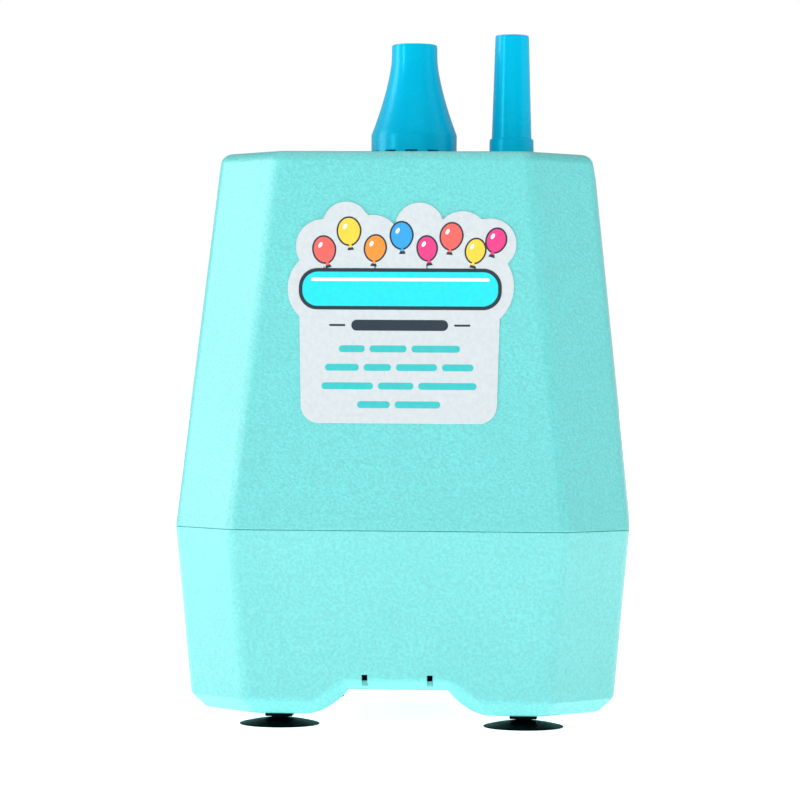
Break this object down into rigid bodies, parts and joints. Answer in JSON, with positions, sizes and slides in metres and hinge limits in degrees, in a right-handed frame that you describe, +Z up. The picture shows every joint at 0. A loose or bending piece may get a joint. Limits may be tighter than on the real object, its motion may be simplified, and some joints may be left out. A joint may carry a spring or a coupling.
{
  "type": "electric balloon inflator",
  "caption": "Faceted tapered housing on suction cups with a label panel, a fan motor inside, and a flared and a straight press-down air nozzle on top.",
  "frame": {"origin": "under the middle of the housing, on the surface that the suction cups rest on", "axes": "+Z up along the nozzles, -Y the front with the label, +X towards the small nozzle"},
  "size_m": [0.1142, 0.1142, 0.1773],
  "materials": {
    "teal_plastic": "fine moulded texture, matt, pale teal",
    "blue_plastic": "smooth semi-gloss, bright blue",
    "black_rubber": "smooth moulded",
    "black_plastic": "satin",
    "label_film": "printed satin film",
    "white_plastic": "natural moulded",
    "bright_steel": "ground",
    "core_steel": "stacked laminations",
    "zinc_steel": "zinc plated",
    "fan_aluminium": "satin",
    "copper_wire": "enamelled wire",
    "contact_brass": "machined",
    "carbon": "pressed carbon",
    "capacitor_box": "moulded box"
  },
  "bodies": {
    "housing": {"lower_housing": "teal_plastic", "upper_housing": "teal_plastic", "suction_cup_front_left": "black_rubber", "suction_cup_front_right": "black_rubber", "suction_cup_rear_left": "black_rubber", "suction_cup_rear_right": "black_rubber", "lower_gasket": "black_rubber", "upper_gasket": "black_rubber", "intake_grille": "black_plastic", "cord_gland": "black_plastic", "fan_shroud": "black_plastic", "large_switch": "black_plastic", "small_switch": "black_plastic", "label_plate": "label_film", "valve_block": "white_plastic", "motor_casing": "white_plastic", "diffuser_plate": "white_plastic", "terminal_block": "white_plastic", "lower_bearing": "bright_steel", "upper_bearing": "bright_steel", "large_nozzle_spring": "bright_steel", "small_nozzle_spring": "bright_steel", "large_switch_pin": "bright_steel", "small_switch_pin": "bright_steel", "stator_core": "core_steel", "housing_screw_front_left": "zinc_steel", "housing_screw_front_right": "zinc_steel", "housing_screw_rear_left": "zinc_steel", "housing_screw_rear_right": "zinc_steel", "lower_bracket": "fan_aluminium", "upper_bracket": "fan_aluminium", "field_coil_front": "copper_wire", "field_coil_rear": "copper_wire", "brush_holder_left": "contact_brass", "brush_holder_right": "contact_brass", "carbon_brush_left": "carbon", "carbon_brush_right": "carbon", "suppression_capacitor": "capacitor_box"},
    "rotor": {"motor_shaft": "bright_steel", "armature_core": "core_steel", "armature_winding_lower": "copper_wire", "armature_winding_upper": "copper_wire", "commutator": "contact_brass", "impeller": "fan_aluminium", "fan_nut": "zinc_steel"},
    "large_plunger": {"large_nozzle": "blue_plastic", "large_valve_disc": "white_plastic", "large_valve_seal": "black_rubber"},
    "small_plunger": {"small_nozzle": "blue_plastic", "small_valve_disc": "white_plastic", "small_valve_seal": "black_rubber"},
    "large_lever": {"large_switch_lever": "zinc_steel"},
    "small_lever": {"small_switch_lever": "zinc_steel"}
  },
  "joints": [
    {"name": "rotor_spin", "type": "hinge", "parent": "housing", "child": "rotor", "pos_m": [0, 0, 0.065], "axis": [0, 0, 1], "continuous": true},
    {"name": "large_nozzle_press", "type": "slide", "parent": "housing", "child": "large_plunger", "axis": [0, 0, -1], "range_m": [0, 0.003], "stiffness_N_per_m": 500, "springref_m": -0.004, "deforming": ["large_nozzle_spring"]},
    {"name": "small_nozzle_press", "type": "slide", "parent": "housing", "child": "small_plunger", "axis": [0, 0, -1], "range_m": [0, 0.003], "stiffness_N_per_m": 350, "springref_m": -0.004, "deforming": ["small_nozzle_spring"]},
    {"name": "large_lever_tilt", "type": "hinge", "parent": "housing", "child": "large_lever", "pos_m": [0, 0.014, 0.1234], "axis": [1, 0, 0], "range_deg": [0, 14]},
    {"name": "small_lever_tilt", "type": "hinge", "parent": "housing", "child": "small_lever", "pos_m": [0.0256, 0.014, 0.1234], "axis": [1, 0, 0], "range_deg": [0, 14]}
  ],
  "couplings": [
    {"joint": "large_lever_tilt", "follows": "large_nozzle_press", "rad_per_m": 80.8},
    {"joint": "small_lever_tilt", "follows": "small_nozzle_press", "rad_per_m": 80.8}
  ]
}
